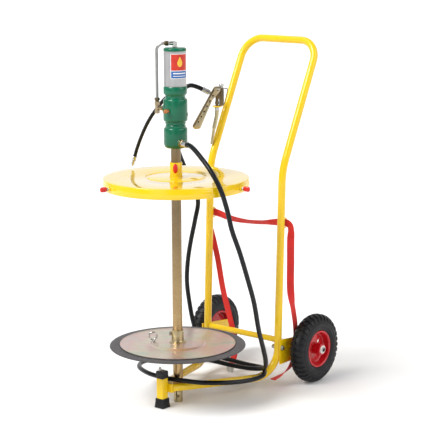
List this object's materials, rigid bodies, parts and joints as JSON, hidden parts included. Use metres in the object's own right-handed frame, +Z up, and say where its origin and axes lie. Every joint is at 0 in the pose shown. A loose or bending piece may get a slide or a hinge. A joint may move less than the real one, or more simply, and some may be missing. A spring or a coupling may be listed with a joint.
{
  "type": "drum grease pump on a trolley",
  "caption": "Air-operated grease pump with drum cover, follower plate, hand gun and hoses on a two-wheeled drum trolley with a handle and a strap.",
  "frame": {"origin": "on the pump's axis at the underside of its foot, level with the floor", "axes": "+Z up along the pump, +Y from the front leg towards the uprights and wheels, +X towards the right wheel, which is the side the grease hose leaves on"},
  "size_m": [0.6273, 0.9142, 1.3049],
  "materials": {
    "yellow_paint": "gloss",
    "green_paint": "gloss",
    "red_paint": "gloss",
    "tyre_rubber": "matt, moulded tread",
    "foot_rubber": "matt",
    "hose_rubber": "satin, smooth cover",
    "lip_rubber": "matt",
    "seal_rubber": "satin",
    "red_plastic": "moulded",
    "black_plastic": "moulded",
    "white_plastic": "moulded",
    "zinc": "zinc plated",
    "yellow_zinc": "yellow passivated zinc",
    "aluminium": "satin, extruded",
    "steel": "ground",
    "brass": "turned",
    "bronze": "sintered",
    "webbing": "woven",
    "label": null
  },
  "bodies": {
    "trolley": {"tube_frame": "yellow_paint", "cross_bar": "yellow_paint", "axle_bracket_left": "yellow_paint", "axle_bracket_right": "yellow_paint", "front_leg": "yellow_paint", "lower_body": "green_paint", "air_valve_body": "green_paint", "cylinder_cap": "green_paint", "rubber_foot": "foot_rubber", "grease_hose": "hose_rubber", "air_hose": "hose_rubber", "leg_top_plug": "black_plastic", "gun_guard": "black_plastic", "axle_washer_left": "white_plastic", "axle_washer_right": "white_plastic", "bracket_bolt_left": "zinc", "bracket_bolt_right": "zinc", "cap_elbow": "zinc", "air_line": "zinc", "outlet_swivel": "zinc", "gun_cap": "zinc", "lever_pin": "zinc", "gun_hose_ferrule": "zinc", "air_plug": "zinc", "strap_buckle": "zinc", "suction_tube": "yellow_zinc", "foot_valve_body": "yellow_zinc", "gun_body": "yellow_zinc", "gun_extension": "yellow_zinc", "outlet_ferrule": "yellow_zinc", "air_cylinder": "aluminium", "axle": "steel", "air_inlet_block": "brass", "air_hose_tail": "brass", "exhaust_silencer": "bronze", "strap": "webbing", "cylinder_label": "label"},
    "wheel_left": {"tyre_left": "tyre_rubber", "rim_left": "red_paint", "hub_bush_left": "white_plastic"},
    "wheel_right": {"tyre_right": "tyre_rubber", "rim_right": "red_paint", "hub_bush_right": "white_plastic"},
    "drum_cover": {"cover_disc": "yellow_paint", "cover_collar": "yellow_paint"},
    "collar_screw": {"collar_screw": "red_plastic"},
    "rim_screw_1": {"rim_screw_1": "red_plastic"},
    "rim_screw_2": {"rim_screw_2": "red_plastic"},
    "rim_screw_3": {"rim_screw_3": "red_plastic"},
    "follower": {"follower_disc": "yellow_zinc", "follower_lip": "lip_rubber", "follower_hub": "yellow_zinc", "lifting_eye": "zinc"},
    "hub_set_screw": {"hub_set_screw": "zinc"},
    "pump_rod": {"piston_rod": "steel", "air_piston": "aluminium", "piston_seal": "seal_rubber", "grease_plunger": "steel"},
    "check_ball": {"foot_check_ball": "steel"},
    "gun_lever": {"gun_lever": "yellow_zinc"}
  },
  "joints": [
    {"name": "wheel_left_spin", "type": "hinge", "parent": "trolley", "child": "wheel_left", "pos_m": [-0.241, 0.506, 0.13], "axis": [1, 0, 0], "continuous": true},
    {"name": "wheel_right_spin", "type": "hinge", "parent": "trolley", "child": "wheel_right", "pos_m": [0.241, 0.506, 0.13], "axis": [1, 0, 0], "continuous": true},
    {"name": "cover_slide", "type": "slide", "parent": "trolley", "child": "drum_cover", "axis": [0, 0, 1], "range_m": [-0.25, 0]},
    {"name": "collar_screw_turn", "type": "hinge", "parent": "drum_cover", "child": "collar_screw", "pos_m": [0.01847, -0.02364, 0.862], "axis": [0.6157, -0.788, 0], "continuous": true},
    {"name": "rim_screw_1_turn", "type": "hinge", "parent": "drum_cover", "child": "rim_screw_1", "pos_m": [0.25651, 0.04247, 0.806], "axis": [0.9866, 0.1633, 0], "continuous": true},
    {"name": "rim_screw_2_turn", "type": "hinge", "parent": "drum_cover", "child": "rim_screw_2", "pos_m": [-0.16503, 0.20091, 0.806], "axis": [-0.6347, 0.7727, 0], "continuous": true},
    {"name": "rim_screw_3_turn", "type": "hinge", "parent": "drum_cover", "child": "rim_screw_3", "pos_m": [-0.09148, -0.24338, 0.806], "axis": [-0.3518, -0.9361, 0], "continuous": true},
    {"name": "follower_slide", "type": "slide", "parent": "trolley", "child": "follower", "axis": [0, 0, 1], "range_m": [-0.04, 0.25]},
    {"name": "hub_set_screw_turn", "type": "hinge", "parent": "follower", "child": "hub_set_screw", "pos_m": [-0.01673, -0.01858, 0.255], "axis": [-0.6691, -0.7431, 0], "continuous": true},
    {"name": "pump_stroke", "type": "slide", "parent": "trolley", "child": "pump_rod", "axis": [0, 0, 1], "range_m": [-0.04, 0.04]},
    {"name": "check_ball_lift", "type": "slide", "parent": "trolley", "child": "check_ball", "axis": [0, 0, 1], "range_m": [0, 0.006]},
    {"name": "gun_lever_squeeze", "type": "hinge", "parent": "trolley", "child": "gun_lever", "pos_m": [-0.15164, 0.42319, 1.09], "axis": [0.6347, -0.7727, 0], "range_deg": [0, 8], "stiffness_Nm_per_rad": 1.5, "springref_deg": -8.59}
  ]
}
